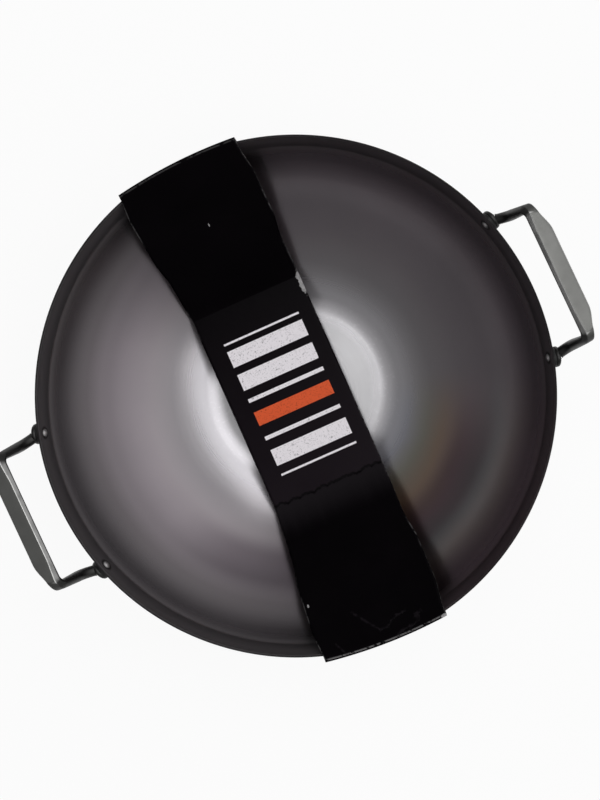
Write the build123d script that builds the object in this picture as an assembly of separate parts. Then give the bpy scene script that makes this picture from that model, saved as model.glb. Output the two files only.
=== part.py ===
from build123d import *
import os
from math import cos, radians, sin, sqrt, tan

# A carbon steel wok: a pressed sheet bowl with a flat base, two forged loop handles, each
# riveted on through two seat washers, and a folded card sleeve hooked over the rim.
#
# Lengths are millimetres and angles are degrees. +Z is up the bowl's axis, the origin is the
# middle of the flat base, and +X runs through the middles of the two handles.

# Bowl
rim_diameter = 360.0
bowl_height = 97.0
sheet_thickness = 1.6
base_flat_radius = 60.0
base_corner_reach = 7.0
knuckle_radius = 42.0
wall_radius = 215.0
band_height = 18.0
band_lean = 10.5
band_bend_radius = 8.0
rim_edge_round = 0.5

# Rivets, which pass from inside the bowl through its wall and the seat washer into the foot
rivet_spacing = 102.4
rivet_drop = 8.2
rivet_shank_diameter = 5.0
rivet_head_diameter = 6.6
rivet_head_height = 1.5
rivet_hole_clearance = 0.15
rivet_grip_in_foot = 2.6
rivet_tip_clearance = 0.2

# Seat washers between the wall and the handle's feet
washer_diameter = 15.2
washer_thickness = 2.4
washer_edge_round = 0.7
seat_flat_depth = 0.22
seat_flat_margin = 0.4

# Handles
rod_diameter = 7.6
foot_diameter = 14.4
foot_thickness = 3.4
foot_edge_round = 1.3
neck_diameter = 10.0
neck_length = 6.2
grip_overhang = 14.6
grip_rise = 29.0
grip_corner_spacing = 94.2
leg_start_rise = 24.0
leg_elbow_reach = 7.6
leg_elbow_radius = 16.0
grip_bend_radius = 6.5
strap_width = 12.5
strap_thickness = 4.2
strap_corner_round = 1.9
strap_outset = 2.4
strap_tilt = 8.0
strap_flat_length = 58.0
strap_taper_steps = 6
rod_seam_step = 0.15

# Card sleeve, described across its width (u) and along its length (v)
sleeve_turn = -1.2
sleeve_offset = -9.8
sleeve_width = 88.8
sleeve_shoulder_width = 93.8
board_thickness = 0.5
sleeve_clearance = 0.3
panel_height = 19.0
crease_positions = (-73.0, 81.0)
fold_radius = 303.0
fold_apex_offset = 4.0
flap_drop = 24.0
shoulder_start = 112.0
shoulder_ramp = 14.0
shoulder_end = 172.0

overrun = 5.0

# Worked-out values
rim_radius = rim_diameter / 2
band_foot_radius = rim_radius - band_height * tan(radians(band_lean))
band_foot_height = bowl_height - band_height
base_corner_radius = base_flat_radius + base_corner_reach
rivet_height = bowl_height - rivet_drop
rivet_wall_radius = rim_radius - rivet_drop * tan(radians(band_lean))
washer_outer_face = washer_thickness - seat_flat_depth
rivet_hole_diameter = rivet_shank_diameter + 2 * rivet_hole_clearance
inner_wall_radius = rivet_wall_radius - sheet_thickness
head_flat_radius = rivet_head_diameter / 2 + seat_flat_margin
head_flat_sag = inner_wall_radius - sqrt(inner_wall_radius**2 - head_flat_radius**2)
head_seat_depth = sheet_thickness - head_flat_sag
rim_inner_radius = rim_radius - sheet_thickness * cos(radians(band_lean))
rim_top_height = bowl_height + sheet_thickness * sin(radians(band_lean))
grip_reach = rim_radius + grip_overhang
grip_height = bowl_height + grip_rise
grip_half_length = grip_corner_spacing / 2 - grip_bend_radius


def at_root(side, hand):
    """The plane on the outer wall at a rivet: its z axis is the wall's outward normal."""
    y = hand * rivet_spacing / 2
    x = side * sqrt(rivet_wall_radius**2 - y**2)
    lean = radians(band_lean)
    normal = Vector(
        cos(lean) * x / rivet_wall_radius, cos(lean) * y / rivet_wall_radius, -sin(lean)
    )
    level = Vector(-y / rivet_wall_radius, x / rivet_wall_radius, 0)
    return Plane(origin=(x, y, rivet_height), x_dir=level, z_dir=normal)


roots = {(side, hand): at_root(side, hand) for side in (1, -1) for hand in (1, -1)}


def bowl_section():
    """Half of the sheet's section in the XZ plane, ready to turn about Z."""
    with BuildSketch(Plane.XZ) as section:
        with BuildLine():
            base_corner = (base_corner_radius, 0)
            band_foot = (band_foot_radius, band_foot_height)
            base = Line((0, 0), base_corner)
            wall = RadiusArc(base_corner, band_foot, -wall_radius)
            band = Line(band_foot, (rim_radius, bowl_height))
            knuckle = base.vertices().sort_by(Axis.X)[-1]
            fillet(knuckle, knuckle_radius)
            bend = band.vertices().sort_by(Axis.Z)[0]
            fillet(bend, band_bend_radius)
            offset(amount=sheet_thickness, side=Side.LEFT)
        make_face()
    return section.sketch


def make_bowl():
    """The pressed bowl, flattened under each washer and drilled for each rivet."""
    bowl = revolve(bowl_section(), Axis.Z)
    rim_edges = bowl.edges().filter_by(GeomType.CIRCLE).group_by(Axis.Z)[-2:]
    bowl = fillet([edge for group in rim_edges for edge in group], rim_edge_round)
    outside = Cylinder(
        washer_diameter / 2 + seat_flat_margin, overrun, align=(Align.CENTER, Align.CENTER, Align.MIN)
    )
    inside = Cylinder(
        rivet_head_diameter / 2 + seat_flat_margin, overrun, align=(Align.CENTER, Align.CENTER, Align.MAX)
    )
    hole = Cylinder(rivet_hole_diameter / 2, 2 * overrun)
    for root in roots.values():
        bowl -= root * Pos(0, 0, -seat_flat_depth) * outside
        bowl -= root * Pos(0, 0, -head_seat_depth) * inside
        bowl -= root * hole
    return bowl


def make_washer(root):
    """A seat washer that lies flat on the wall."""
    washer = Cylinder(washer_diameter / 2, washer_thickness, align=(Align.CENTER, Align.CENTER, Align.MIN))
    washer = fillet(washer.edges().group_by(Axis.Z)[-1], washer_edge_round)
    washer -= Cylinder(rivet_hole_diameter / 2, 2 * washer_thickness + overrun)
    return root * Pos(0, 0, -seat_flat_depth) * washer


def make_rivet(root):
    """A rivet with a domed head inside the bowl and its shank in the foot's blind bore."""
    head_radius = rivet_head_diameter / 2
    dome_radius = (head_radius**2 + rivet_head_height**2) / (2 * rivet_head_height)
    dome = Pos(0, 0, rivet_head_height - dome_radius) * Sphere(dome_radius)
    head = dome & Cylinder(
        head_radius, rivet_head_height + overrun, align=(Align.CENTER, Align.CENTER, Align.MIN)
    )
    shank_length = head_seat_depth + washer_outer_face + rivet_grip_in_foot
    shank = Cylinder(
        rivet_shank_diameter / 2, shank_length, align=(Align.CENTER, Align.CENTER, Align.MAX)
    )
    outward = Plane(
        origin=root.origin - root.z_dir * head_seat_depth, x_dir=root.x_dir, z_dir=-root.z_dir
    )
    return outward * (head + shank)


def leg_points(side, hand):
    """The foot's face middle, the rod's start, its elbow and the grip's corner."""
    root = roots[(side, hand)]
    seat = root.origin + root.z_dir * washer_outer_face
    corner = Vector(side * grip_reach, hand * grip_corner_spacing / 2, grip_height)
    plan = Vector(corner.X - seat.X, corner.Y - seat.Y, 0).normalized()
    start_direction = plan * cos(radians(leg_start_rise)) + Vector(0, 0, sin(radians(leg_start_rise)))
    start = seat + start_direction * neck_length
    elbow = start + start_direction * leg_elbow_reach
    return seat, start, elbow, corner


def make_foot(side, hand):
    """The forged foot: a round flange on the washer, and a neck that leads from it to the rod."""
    root = roots[(side, hand)]
    seat, start, elbow, corner = leg_points(side, hand)
    face = Plane(origin=seat, x_dir=root.x_dir, z_dir=root.z_dir)
    rod_end = Plane(origin=start, x_dir=root.x_dir, z_dir=(elbow - start).normalized())
    flange = Cylinder(foot_diameter / 2, foot_thickness, align=(Align.CENTER, Align.CENTER, Align.MIN))
    flange = fillet(flange.edges().group_by(Axis.Z)[-1], foot_edge_round)
    neck = loft([face * Circle(neck_diameter / 2), rod_end * Circle(rod_diameter / 2 + rod_seam_step)])
    return face * flange + neck


def blend(start, end, share):
    """An eased value between two values."""
    return start + (end - start) * share**2 * (3 - 2 * share)


def strap_section(y, share, side):
    """One section of the grip, square to Y: share 0 is the flat strap and share 1 the rod."""
    end_width = rod_diameter + 2 * rod_seam_step
    width = blend(strap_width, end_width, share)
    thickness = blend(strap_thickness, end_width, share)
    corner_round = blend(strap_corner_round, rod_diameter / 2, share)
    turn = radians(blend(strap_tilt, 0, share) * side)
    middle = Vector(side * (grip_reach + blend(strap_outset, 0, share)), y, grip_height)
    plane = Plane(origin=middle, x_dir=(cos(turn), 0, -sin(turn)), z_dir=(0, 1, 0))
    return plane * RectangleRounded(width, thickness, corner_round)


def make_grip(side):
    """The grip: flattened along its middle, tapering into the rod at both bends."""
    half_flat = strap_flat_length / 2
    shares = [step / strap_taper_steps for step in range(strap_taper_steps + 1)]
    taper = [(half_flat + (grip_half_length - half_flat) * share, share) for share in shares]
    places = [(-y, share) for y, share in reversed(taper)] + taper
    return loft([strap_section(y, share, side) for y, share in places], ruled=True)


def make_handle(side):
    """One forged loop: two feet, two legs that rise to the bends, and the flattened grip."""
    handle = make_grip(side)
    for hand in (1, -1):
        seat, start, elbow, corner = leg_points(side, hand)
        grip_end = Vector(corner.X, hand * grip_half_length, grip_height)
        path = FilletPolyline(start, elbow, corner, grip_end, radius=(leg_elbow_radius, grip_bend_radius))
        section = Plane(origin=start, z_dir=path % 0) * Circle(rod_diameter / 2)
        handle += sweep(section, path=path)
        handle += make_foot(side, hand)
        bore_depth = rivet_grip_in_foot + rivet_tip_clearance
        bore = Cylinder(
            rivet_hole_diameter / 2, bore_depth + overrun, align=(Align.CENTER, Align.CENTER, Align.MAX)
        )
        handle -= roots[(side, hand)] * Pos(0, 0, washer_outer_face + bore_depth) * bore
    return handle


def rim_reach(u, radius):
    """How far along the sleeve a circle about the bowl's axis lies, at a place across it."""
    return sqrt(radius**2 - u**2)


def fold_reach(u):
    """How far along the sleeve the inner face of its end fold lies."""
    apex = rim_radius + sleeve_clearance
    return apex - fold_radius + sqrt(fold_radius**2 - (u - fold_apex_offset) ** 2)


def crest_height(u, crease):
    """The height of the fold's inner corner, where the end panel just clears the rim."""
    inner = rim_reach(u, rim_inner_radius)
    rest = rim_top_height + sleeve_clearance
    slope = (rest - panel_height) / (inner - abs(crease))
    return rest + slope * (fold_reach(u) - inner)


def sleeve_section(u):
    """The sleeve's section along its length, at a place across it."""
    low, high = crease_positions
    flap_end = bowl_height - flap_drop
    with BuildSketch(Plane.YZ.offset(u)) as section:
        with BuildLine():
            Polyline(
                (-fold_reach(u), flap_end),
                (-fold_reach(u), crest_height(u, low)),
                (low, panel_height),
                (high, panel_height),
                (fold_reach(u), crest_height(u, high)),
                (fold_reach(u), flap_end),
            )
            offset(amount=board_thickness, side=Side.LEFT, kind=Kind.INTERSECTION)
        make_face()
    return section.sketch


def sleeve_outline():
    """The sleeve's plan outline: shoulders stand out near both ends, inside the rim."""
    half = sleeve_width / 2
    shoulder = sleeve_shoulder_width / 2
    past_end = rim_radius + overrun
    steps = (
        (half, 0),
        (half, shoulder_start),
        (shoulder, shoulder_start + shoulder_ramp),
        (shoulder, shoulder_end - shoulder_ramp),
        (half, shoulder_end),
        (half, past_end),
    )
    right_side = [(u, -v) for u, v in reversed(steps)] + list(steps[1:])
    left_side = [(-u, v) for u, v in reversed(right_side)]
    points = [(u + sleeve_offset, v) for u, v in right_side + left_side]
    return make_face(Polyline(points, close=True))


def make_sleeve():
    """The card sleeve: a dished middle panel, two end panels and a flap outside the rim."""
    half = sleeve_shoulder_width / 2
    places = [sleeve_offset + share * half for share in (-1, -0.5, 0, 0.5, 1)]
    ribbon = loft([sleeve_section(u) for u in places])
    outline = extrude(sleeve_outline(), 2 * bowl_height)
    return Rot(0, 0, sleeve_turn) * (ribbon & outline)


parts = {"bowl": make_bowl(), "sleeve": make_sleeve()}
side_names = {1: "right", -1: "left"}
hand_names = {1: "rear", -1: "front"}
for side, side_name in side_names.items():
    parts[f"handle_{side_name}"] = make_handle(side)
    for hand, hand_name in hand_names.items():
        root = roots[(side, hand)]
        parts[f"seat_washer_{side_name}_{hand_name}"] = make_washer(root)
        parts[f"rivet_{side_name}_{hand_name}"] = make_rivet(root)

os.makedirs("parts", exist_ok=True)
for name, shape in parts.items():
    export_step(shape, f"parts/{name}.step")
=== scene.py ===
from math import atan2, cos, hypot, pi, radians, sin, sqrt, tan

import bmesh
import bpy
from mathutils import Euler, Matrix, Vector


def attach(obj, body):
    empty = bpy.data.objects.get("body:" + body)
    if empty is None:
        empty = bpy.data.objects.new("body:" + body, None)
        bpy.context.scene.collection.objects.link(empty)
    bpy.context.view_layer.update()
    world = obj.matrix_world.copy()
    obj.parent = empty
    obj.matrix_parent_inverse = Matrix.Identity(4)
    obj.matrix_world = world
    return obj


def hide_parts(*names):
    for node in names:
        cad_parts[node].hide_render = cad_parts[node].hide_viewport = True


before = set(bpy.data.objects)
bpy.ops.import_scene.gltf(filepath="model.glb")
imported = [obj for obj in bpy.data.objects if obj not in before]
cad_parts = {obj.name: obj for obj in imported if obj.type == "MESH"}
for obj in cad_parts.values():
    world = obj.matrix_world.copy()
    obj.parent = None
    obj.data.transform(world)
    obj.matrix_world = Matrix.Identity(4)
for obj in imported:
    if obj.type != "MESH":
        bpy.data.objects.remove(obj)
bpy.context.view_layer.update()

# Units
MM = 0.001

# Bowl sizes, as the part has them
RIM_RADIUS = 180 * MM
BOWL_HEIGHT = 97 * MM
SHEET = 1.6 * MM
BASE_CORNER = 67 * MM
KNUCKLE_RADIUS = 42 * MM
WALL_RADIUS = 215 * MM
BAND_HEIGHT = 18 * MM
BAND_LEAN = radians(10.5)
BEND_RADIUS = 8 * MM
RIM_ROUND = 0.78 * MM
BOWL_SEGMENTS = 320
BASE_STEPS, KNUCKLE_STEPS, WALL_STEPS, BEND_STEPS, BAND_STEPS, RIM_STEPS = 12, 14, 64, 8, 8, 5

# Rivets, washers and handle sizes
RIVET_SPACING = 102.4 * MM
RIVET_DROP = 8.2 * MM
WASHER_FACE = 2.18 * MM
ROD_RADIUS = 3.8 * MM
FOOT_RADIUS = 7.2 * MM
FOOT_THICKNESS = 3.4 * MM
FOOT_EDGE_ROUND = 1.3 * MM
NECK_RADIUS = 4.6 * MM
NECK_SHIFT = 1.6 * MM
NECK_LENGTH = 6.2 * MM
GRIP_REACH = 194.6 * MM
GRIP_HEIGHT = BOWL_HEIGHT + 29 * MM
GRIP_CORNER_SPACING = 94.2 * MM
LEG_START_RISE = radians(24)
LEG_ELBOW_REACH = 7.6 * MM
LEG_ELBOW_RADIUS = 16 * MM
GRIP_BEND_RADIUS = 6.5 * MM
STRAP_WIDTH = 12.5 * MM
STRAP_THICKNESS = 4.2 * MM
STRAP_OUTSET = 2.2 * MM
STRAP_TILT = radians(8)
STRAP_CHAMFER = 1.9 * MM
STRAP_CHAMFER_STEEPNESS = 1.3
STRAP_EDGE_ROUND = 0.4 * MM
STRAP_INNER_ROUND = 0.8 * MM
STRAP_SOFT_ROUND = 1.3 * MM
STRAP_END_WIDTH = 7.6 * MM
STRAP_END_THICKNESS = 5.6 * MM
STRAP_WIDE_TO, STRAP_NARROW_FROM = 27.5 * MM, 46 * MM
STRAP_CRISP_TO, STRAP_ROUND_FROM = 47 * MM, 57 * MM
GRIP_STATIONS = 64
CORNER_STEPS, SIDE_STEPS, FOOT_EDGE_STEPS, NECK_STEPS = 6, 5, 5, 6
PATH_STEP, FEWEST_PATH_STEPS = radians(7), 3
FACE_END, FACE_SLANT, FACE_FADE = 43 * MM, 0.5, 2 * MM
LEG_END, LEG_FADE = 186 * MM, 4 * MM

# Card sleeve sizes: u runs across it and v along it
SLEEVE_TURN = radians(-1.2)
SLEEVE_OFFSET = -9.8 * MM
SLEEVE_HALF = 44.4 * MM
SLEEVE_SHOULDER_HALF = 46.9 * MM
BOARD = 0.5 * MM
SLEEVE_CLEARANCE = 0.28 * MM
PANEL_HEIGHT = 19.0 * MM
CREASES = (-73 * MM, 81 * MM)
FOLD_RADIUS = 303 * MM
FOLD_APEX = 4.0 * MM
FLAP_END = BOWL_HEIGHT - 24 * MM
SHOULDER_START = 112 * MM
SHOULDER_RAMP = 14 * MM
SHOULDER_END = 172 * MM
SLEEVE_BENDS = (0.7 * MM, 2.5 * MM, 2.5 * MM, 0.7 * MM)
SLEEVE_RUN_STEPS, SLEEVE_BEND_STEPS, SLEEVE_COLUMNS = (8, 34, 44, 34, 8), 6, 41

# Camera, fitted to the photograph
CAMERA_PLACE = (0.0620, 0.0132, 0.8697)
CAMERA_TURN = (radians(-0.016), radians(1.391), radians(-25.203))
FOCAL_PIXELS = 1126.0
IMAGE_HEIGHT = 800
CENTRE_SHIFT_PIXELS = (40.55, -59.4)
CLIP_START = 0.01

# The steel's colour by its share of the rim's radius, chosen to match the photograph, with painted
# reflection and shade in it: lighter on the base and knuckle, darker up the wall and on the band, with a
# painted highlight just inside the rim's edge
BOWL_TONES_WITH_PAINTED_REFLECTION = (
    (0.0, (0.325, 0.322, 0.33)),
    (0.29, (0.325, 0.322, 0.33)),
    (0.38, (0.45, 0.437, 0.457)),
    (0.43, (0.45, 0.435, 0.457)),
    (0.49, (0.36, 0.343, 0.36)),
    (0.55, (0.287, 0.268, 0.286)),
    (0.67, (0.23, 0.208, 0.226)),
    (0.78, (0.205, 0.182, 0.199)),
    (0.856, (0.232, 0.206, 0.223)),
    (0.903, (0.136, 0.120, 0.131)),
    (0.933, (0.088, 0.078, 0.085)),
    (0.956, (0.096, 0.086, 0.093)),
    (0.970, (0.114, 0.103, 0.110)),
    (0.984, (0.200, 0.180, 0.192)),
    (0.989, (0.185, 0.167, 0.177)),
    (0.992, (0.014, 0.012, 0.013)),
)
# Painted light: gains on the left handle's side by the same share, chosen to match the photograph, mostly
# making it lighter
LEFT_SIDE_PAINTED_LIGHT_GAINS = (
    (0.81, (1.0, 1.0, 1.0)),
    (0.856, (0.83, 0.84, 0.83)),
    (0.903, (1.40, 1.46, 1.42)),
    (0.933, (1.55, 1.63, 1.58)),
    (0.956, (1.12, 1.18, 1.14)),
    (0.970, (1.38, 1.46, 1.41)),
    (0.985, (1.25, 1.32, 1.28)),
    (0.991, (1.25, 1.32, 1.28)),
)
# Heat colours by the same share, strongest in one place on the wall
HEAT_TINTS = (
    (0.36, (1.0, 1.0, 1.0)),
    (0.47, (0.94, 0.98, 1.04)),
    (0.55, (1.03, 1.05, 0.86)),
    (0.63, (1.20, 0.96, 0.70)),
    (0.73, (1.14, 0.93, 0.92)),
    (0.82, (0.96, 1.04, 0.98)),
    (0.89, (1.04, 1.0, 0.90)),
    (0.95, (1.07, 0.94, 0.98)),
)
HEAT_BEARING, HEAT_SPREAD = radians(-62), radians(48)
# Painted shade: a darker zone on the front half of the wall, chosen the same way
SHADE_BEARING, SHADE_FROM, SHADE_FULL = radians(-93), radians(70), radians(40)
SHADE_TONE = (0.62, 0.60, 0.62)
# Zones of the bowl by the same share: start and end of the fade in, and of the fade out
KNUCKLE_IN, KNUCKLE_OUT = (0.26, 0.36), (0.38, 0.55)
PITS_IN, PITS_OUT = (0.30, 0.35), (0.37, 0.46)
SHADE_IN, SHADE_OUT = (0.62, 0.70), (0.77, 0.85)
ROUGH_RIM_IN, BARE_STEEL_OUT = (0.94, 0.985), (0.989, 0.992)
# The painted light on the left handle's side, by the cosine of the bearing: start and end of the fade out
LEFT_SIDE_OUT = (-0.5, 0.4)
# The steel's pits and clouds
PIT_TONE, CLOUD_TONE = (0.62, 0.61, 0.63), (0.14, 0.135, 0.14)
# Painted shade: a dark ring round each rivet, where its head meets the wall
RIVET_SHADE_START, RIVET_SHADE_END = 3.4 * MM, 5.4 * MM
RIVET_SHADE_TONE = (0.02, 0.018, 0.018)
# Painted highlight on each rivet's crown, and painted shade on its skirt
CROWN_HIGHLIGHT_START, CROWN_HIGHLIGHT_END = 2.3 * MM, 3.2 * MM
CROWN_HIGHLIGHT_TONES, SKIRT_SHADE_TONE = ((0.55, 0.54, 0.54), (0.75, 0.74, 0.74)), (0.07, 0.066, 0.066)
# The bowl's outer side, the washers and the handles: darkest and lightest tones; the handles' lighter ones
# carry painted highlights
OUTSIDE_TONES, OUTSIDE_TINT = ((0.085, 0.082, 0.086), (0.15, 0.145, 0.15)), (0.14, 0.115, 0.095)
OXIDE_TONES = ((0.022, 0.022, 0.022), (0.05, 0.05, 0.05))
SCALE_TONES = ((0.03, 0.03, 0.03), (0.062, 0.061, 0.06))
GROUND_AND_HIGHLIGHT_TONES = ((0.150, 0.151, 0.145), (0.215, 0.216, 0.208))
EDGE_HIGHLIGHT_TONE = (0.62, 0.62, 0.61)
# How far up the handles' painted edge highlights, their faces, lighter from grinding and a painted
# highlight, and the painted highlights on the rods look: the z of the normal
EDGE_HIGHLIGHT_IN, GROUND_AND_HIGHLIGHT_FACE_IN, ROD_HIGHLIGHT_IN = (0.66, 0.76), (0.95, 0.975), (0.55, 0.95)
# How dense the spun lines are, inside and outside, and how far they drift round the bowl
SPUN_SCALE, OUTER_SPUN_SCALE, SPUN_DRIFT = 900.0, 700.0, 1.5
# How strongly the steel's clouds bend and tint its colour, and the strengths of the heat and the painted
# shade round the rivets
WAVINESS, CLOUD_STRENGTH, HEAT_STRENGTHS, RIVET_SHADE_STRENGTH = 0.12, 0.12, (0.05, 1.0), 0.8
# From where to where a noise counts, and what it becomes
PIT_SPAN, OUTSIDE_TINT_SPAN = (0.56, 0.68, 0.0, 0.3), (0.5, 0.75, 0.0, 0.5)
EDGE_HIGHLIGHT_SPAN, ROD_HIGHLIGHT_STRENGTH = (0.35, 0.5, 0.6, 1.0), 0.55
# The bowl's roughness: of the wall and the rim, and what lines, clouds and the knuckle add
WALL_ROUGHNESS, RIM_ROUGHNESS = 0.13, 0.42
SPUN_ROUGHNESS, CLOUD_ROUGHNESS, KNUCKLE_ROUGHNESS, OUTER_SPUN_ROUGHNESS = 0.10, 0.08, 0.10, 0.12
# Lowest and highest roughness of the others, and the roughness of the plain ones
OUTSIDE_ROUGHNESS, FORGED_ROUGHNESS, WASHER_ROUGHNESS = (0.26, 0.36), (0.36, 0.5), (0.4, 0.6)
RIVET_ROUGHNESS, CARD_ROUGHNESS = (0.35, 0.5), (0.28, 0.4)
BACK_ROUGHNESS, CUT_EDGE_ROUGHNESS = 0.85, 0.8
BOWL_SPECULAR, OUTSIDE_SPECULAR, CARD_SPECULAR = 0.06, 0.1, 0.035
# The range that a cloudy noise mostly keeps to, and its middle
CLOUD_RANGE, NOISE_MIDDLE = (0.3, 0.7), 0.5
# Every noise: its scale, its detail and how strong its fine parts are
NOISES = {
    "spun": (1.0, 3.0, 0.6), "steel_grain": (1400.0, 2.0, 0.5),
    "steel_cloud": (14.0, 3.0, 0.5), "steel_pits": (420.0, 3.0, 0.7),
    "outside_cloud": (16.0, 4.0, 0.5), "forged_cloud": (60.0, 3.0, 0.5),
    "forged_grain": (900.0, 2.0, 0.5), "ground_and_highlight": (90.0, 4.0, 0.5),
    "washer_cloud": (200.0, 3.0, 0.5), "rivet_cloud": (400.0, 3.0, 0.5),
    "print_stipple": (1300.0, 2.0, 0.5), "print_wear": (420.0, 4.0, 0.7),
    "card_cloud": (25.0, 3.0, 0.5), "card_fibre": (700.0, 2.0, 0.5),
    "card_fleck": (260.0, 3.0, 0.7), "crease_wander": (1.0, 3.0, 0.6),
    "rubbed_patch": (34.0, 2.0, 0.5), "scratch_waver": (90.0, 3.0, 0.6),
    "back_fibre": (500.0, 4.0, 0.7), "back_cloud": (30.0, 2.0, 0.5),
    "edge_fleck": (500.0, 3.0, 0.5),
}
# Every bump: its strength and its depth
BUMPS = {
    "steel_spun": (0.07, 0.0002), "steel_grain": (0.03, 0.0002),
    "outside_spun": (0.12, 0.0002), "forged_hammering": (0.16, 0.0008),
    "forged_grain": (0.12, 0.0002), "washer": (0.1, 0.0003),
    "rivet": (0.15, 0.0003), "card_waves": (0.25, 0.002),
    "card_creases": (0.4, 0.0006), "card_fibre": (0.05, 0.0002),
    "back_fibre": (0.2, 0.0002), "edge_fleck": (0.2, 0.0002),
}

# The print on the middle panel: bars across the card, with each bar's middle and height along it
PRINT_MIDDLE, PRINT_WIDTH = -8.5 * MM, 62 * MM
CREAM, ORANGE = (0.92, 0.88, 0.92), (0.76, 0.115, 0.04)
PRINT_BARS = (
    (55 * MM, 1.6 * MM, CREAM),
    (43 * MM, 13 * MM, CREAM),
    (24 * MM, 13 * MM, CREAM),
    (9 * MM, 3 * MM, CREAM),
    (-6 * MM, 11 * MM, ORANGE),
    (-22 * MM, 3 * MM, CREAM),
    (-38 * MM, 13 * MM, CREAM),
    (-52 * MM, 1.6 * MM, CREAM),
)
# Places where the black print has come off: across, along, how far across and how far along
CHIPS = (
    (34.4 * MM, 75 * MM, 3.2 * MM, 10 * MM),
    (33.6 * MM, -178.6 * MM, 3.0 * MM, 1.6 * MM),
    (-8.8 * MM, 136.3 * MM, 0.5 * MM, 1.1 * MM),
    (-53.4 * MM, -140.2 * MM, 0.7 * MM, 1.1 * MM),
    (37.6 * MM, -114.9 * MM, 0.7 * MM, 1.3 * MM),
)
# Fine creases near the lower end: start and end, each across and along
SCRATCHES = (
    ((-27 * MM, -154 * MM), (-12 * MM, -171 * MM)),
    ((-12 * MM, -171 * MM), (8 * MM, -166 * MM)),
    ((-2 * MM, -178 * MM), (20 * MM, -171 * MM)),
    ((-44 * MM, -168 * MM), (-38 * MM, -178 * MM)),
)
PAPER, SCRATCH_TONE = (0.38, 0.37, 0.375), (0.016, 0.013, 0.016)
# Tones of the black: on the ends, on the middle panel, lighter by a painted sheen, in the painted sheen by
# the lower crease and in the crease's painted shade
END_TONES = ((0.0006, 0.0003, 0.0007), (0.0022, 0.0014, 0.0022))
MIDDLE_PANEL_SHEEN_TONES = ((0.0085, 0.0055, 0.0080), (0.0130, 0.0092, 0.0124))
SHEEN_TONE, CREASE_SHADE_TONE = (0.0135, 0.0115, 0.0135), (0.0012, 0.0010, 0.0013)
# Tones of the board's back and of its cut edges
BACK_TONES, BACK_TINT = ((0.72, 0.71, 0.69), (0.82, 0.81, 0.79)), (0.62, 0.60, 0.57)
CUT_EDGE_TONES = ((0.03, 0.03, 0.03), (0.36, 0.35, 0.33))
# How strongly the painted sheen, the crease's painted shade, the wear and the back's tint show, and from
# where to where a noise counts and what it becomes
SHEEN_STRENGTH, CREASE_SHADE_STRENGTH, RUB_STRENGTH, BACK_TINT_STRENGTH = 0.9, 0.85, 0.22, 0.2
STIPPLE_SPAN, WORN_SPAN = (0.28, 0.42, 0.45, 1.0), (0.30, 0.42, 0.5, 1.0)
RUB_SPAN, PATCH_SPAN, FOLD_WEAR_SPAN, CUT_EDGE_SPAN = (0.42, 0.55), (0.45, 0.62), (0.38, 0.5), (0.4, 0.7)
CHIP_SPAN, SCRATCH_SPAN = (0.3, 0.6, 0.55, 1.0), (0.4, 0.6, 0.05, 0.5)
CHIP_EDGE, CHIP_RAGGEDNESS = (0.75, 1.0), 2.6
FOLD_WEAR_STRENGTHS, WANDER_SCALE = (0.38, 0.1), 110.0
# Reaches of the card's painted sheen, the crease's painted shade and the wear: near and far ends of each
# fade
SHEEN_FADE_NEAR, SHEEN_FADE_FAR, SHEEN_REACH = 6 * MM, 8 * MM, (-26 * MM, -2 * MM)
CREASE_SHIFT, WANDER, DENT_REACH = 0.5 * MM, 9 * MM, (0.2 * MM, 1.6 * MM)
RUB_REACH, SCRATCH_REACH = (0.35 * MM, 1.0 * MM), (0.1 * MM, 1.3 * MM)
FOLD_WEAR_INSET, FOLD_WEAR_REACH = 1.3 * MM, (0.1 * MM, 0.75 * MM)

# The room's light by height: the way's z and the strength, on the dim side and on the bright side
DIM_SIDE_SHARES = (
    (0.0, 0.03), (0.06, 0.05), (0.17, 0.42), (0.3, 0.29), (0.55, 0.3), (0.68, 0.27), (0.8, 0.4), (1.0, 0.5)
)
BRIGHT_SIDE_SHARES = (
    (0.0, 0.2), (0.14, 0.45), (0.33, 0.8), (0.51, 1.2), (0.62, 1.3), (0.75, 0.75), (1.0, 0.7)
)
BRIGHT_SIDE_FROM, BRIGHT_SIDE_FULL = 0.1, 0.8

# The softbox and the floor
SOFTBOX_PLACE, SOFTBOX_TARGET = (0.35, 0.05, 1.35), (0.35, 0.05, 0)
SOFTBOX_WIDTH, SOFTBOX_HEIGHT, SOFTBOX_POWER = 0.78, 1.66, 7.2
FLOOR_HALF, FLOOR_DROP, FLOOR_GLOW = 6.0, 0.0002, 0.92
FLOOR_TONE, FLOOR_ROUGHNESS, WHITE = (0.85, 0.85, 0.85, 1), 0.9, (1, 1, 1, 1)


def new_object(name, verts, faces, smooth=True):
    """A mesh object from plain vertices and faces, in the part's frame."""
    mesh = bpy.data.meshes.new(name)
    mesh.from_pydata([tuple(v) for v in verts], [], faces)
    mesh.validate()
    mesh.polygons.foreach_set("use_smooth", [smooth] * len(mesh.polygons))
    mesh.update()
    obj = bpy.data.objects.new(name, mesh)
    bpy.context.scene.collection.objects.link(obj)
    return obj


def arc(centre, radius, start, end, steps):
    """Points of an arc and the way from each to the arc's centre."""
    points = []
    for i in range(steps + 1):
        angle = start + (end - start) * i / steps
        out = (cos(angle), sin(angle))
        points.append((centre[0] + radius * out[0], centre[1] + radius * out[1], -out[0], -out[1]))
    return points


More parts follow.
